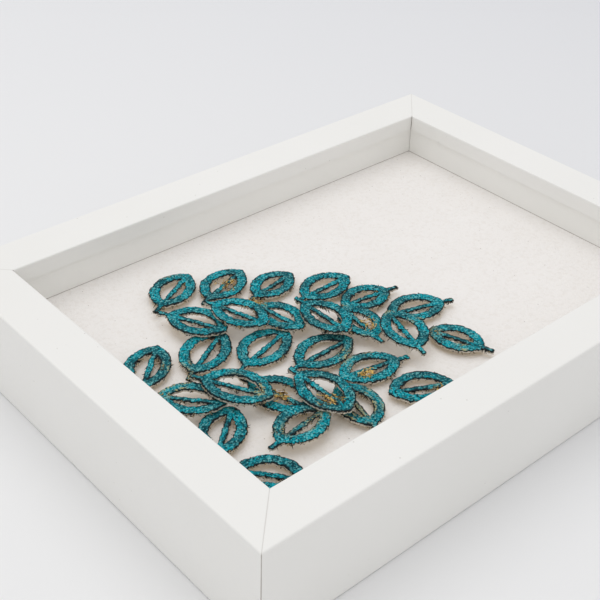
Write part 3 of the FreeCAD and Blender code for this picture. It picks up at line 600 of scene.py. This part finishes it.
def cut_leaf(number, name):
    """One leaf with its torn fibres, and on some a tuft of straw threads, set where its node lies."""
    rng = np.random.default_rng(number)
    seat = leaf_seat(name)
    points, quads, from_edge, depth, roots = leaf_body(seat, rng)
    parts = [(points, quads), torn_fibres(seat, roots, rng, FIBRES)]
    if number in THREADED:
        parts.append(straw_threads(seat, roots, rng, THREADED[number]))
    ahead = seat["heading"]
    turn = np.array([[ahead[0], -ahead[1]], [ahead[1], ahead[0]]])
    points = np.concatenate([part[0] for part in parts])
    points[:, :2] = points[:, :2] @ turn.T + seat["middle"]
    starts = np.cumsum([0] + [len(part[0]) for part in parts])
    faces = [(face + start).tolist() for start, (_, face) in zip(starts, parts)]
    mesh = bpy.data.meshes.new(name)
    mesh.from_pydata((points * MM).tolist(), [], [face for group in faces for face in group])
    material_index = np.repeat(np.arange(len(parts)), [len(group) for group in faces])
    mesh.polygons.foreach_set("material_index", material_index.astype(np.int32))
    mesh.polygons.foreach_set("use_smooth", material_index == 0)
    for attribute, values, filler in (("from_edge", from_edge, 0.0), ("depth", depth, 0.5)):
        padded = np.full(len(points), filler, dtype=np.float32)
        padded[:len(values)] = values
        mesh.attributes.new(attribute, "FLOAT", "POINT").data.foreach_set("value", padded)
    for material in LEAF_MATERIALS:
        mesh.materials.append(material)
    mesh.update()
    leaf = bpy.data.objects.new(f"cut_paper_{name}", mesh)
    bpy.context.scene.collection.objects.link(leaf)
    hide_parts(name)
    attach(leaf, "root")


for leaf_number, leaf_name in enumerate(LEAF_NODES, start=1):
    cut_leaf(leaf_number, leaf_name)


# Floor: the pale matt table top that the frame lies on. It stands a hair below the frame, which
# touches it only here and there, so a thin dark line runs along the frame's foot.
def table_top():
    """Matt white laminate, slightly cool, with painted shade that darkens and cools it towards +X, where the
    room's light falls off.
    """
    laminate = blank_material("matt_white_laminate")
    place = add(laminate, "TexCoord", {}, output="Object")
    cloud = add(laminate, "TexNoise", {"Vector": place, "Scale": 1 / (300 * MM), "Detail": 2})
    # Painted shade: the colour runs from the near tones to a darker, cooler grey towards +X.
    far = add(laminate, "VectorMath", {0: place, 1: (1.0, 0.25, 0)}, output="Value", operation="DOT_PRODUCT")
    far = add(laminate, "MapRange", {0: far, 1: -0.15, 2: 0.75})
    near_tone = add(laminate, "Mix", {0: cloud, 6: linear("EAEAEA"), 7: linear("EDEDED")}, output=2,
                    data_type="RGBA")
    tone = add(laminate, "Mix", {0: far, 6: near_tone, 7: linear("D5D6DA")}, output=2, data_type="RGBA")
    shader = add(laminate, "BsdfPrincipled",
                 {"Base Color": tone, "Roughness": 0.7, "Specular IOR Level": 0.3})
    add(laminate, "OutputMaterial", {"Surface": shader})
    return laminate


FLOOR_REACH, FLOOR_Z = 4.0, -0.4 * MM
floor_mesh = bpy.data.meshes.new("table_top")
floor_corners = [(x * FLOOR_REACH, y * FLOOR_REACH, FLOOR_Z) for x, y in ((-1, -1), (1, -1), (1, 1), (-1, 1))]
floor_mesh.from_pydata(floor_corners, [], [(0, 1, 2, 3)])
floor_mesh.materials.append(table_top())
floor = bpy.data.objects.new("table_top", floor_mesh)
bpy.context.scene.collection.objects.link(floor)


# Light: a pale even room, with one wide soft lamp overhead, a little behind the frame, and a weaker
# one to the left. Each lamp has a name, place, size across, power in watts and colour.
LAMPS = [
    ("window_overhead", (0.15, 0.45, 1.6), 1.6, 6.6, "FFFFFF"),
    ("room_left", (-1.3, -0.3, 1.0), 1.4, 1.0, "FFFDFA"),
]
for lamp_name, lamp_place, lamp_size, lamp_power, lamp_colour in LAMPS:
    lamp_data = bpy.data.lights.new(lamp_name, "AREA")
    lamp_data.shape = "DISK"
    lamp_data.size = lamp_size
    lamp_data.energy = lamp_power
    lamp_data.color = linear(lamp_colour)[:3]
    lamp = bpy.data.objects.new(lamp_name, lamp_data)
    lamp.matrix_world = (
        Matrix.Translation(lamp_place) @ Vector(lamp_place).to_track_quat("Z", "Y").to_matrix().to_4x4()
    )
    bpy.context.scene.collection.objects.link(lamp)

room = bpy.data.worlds.new("pale_room")
room.use_nodes = True
room.node_tree.nodes["Background"].inputs["Color"].default_value = linear("FBFBFC")
room.node_tree.nodes["Background"].inputs["Strength"].default_value = 0.83
bpy.context.scene.world = room
bpy.context.scene.view_settings.view_transform = "Standard"

# Camera: solved from the frame's corners in the photograph, which is 600 pixels square. Its place
# is given in millimetres, and its bearing, dip and roll in degrees.
CAMERA_PLACE = Vector((-286.15, -280.3, 298.5)) * MM
BEARING, DIP, ROLL = (math.radians(angle) for angle in (-42.21, 34.72, 1.83))
FOCAL_PIXELS, PHOTO_PIXELS = 1133.2, 600
camera_data = bpy.data.cameras.new("camera")
camera_data.sensor_width = 36
camera_data.lens = FOCAL_PIXELS / PHOTO_PIXELS * camera_data.sensor_width
camera_data.clip_start = 0.01
camera = bpy.data.objects.new("camera", camera_data)
camera.matrix_world = (
    Matrix.Translation(CAMERA_PLACE)
    @ Matrix.Rotation(BEARING, 4, "Z")
    @ Matrix.Rotation(math.pi / 2 - DIP, 4, "X")
    @ Matrix.Rotation(ROLL, 4, "Z")
)
bpy.context.scene.collection.objects.link(camera)
bpy.context.scene.camera = camera
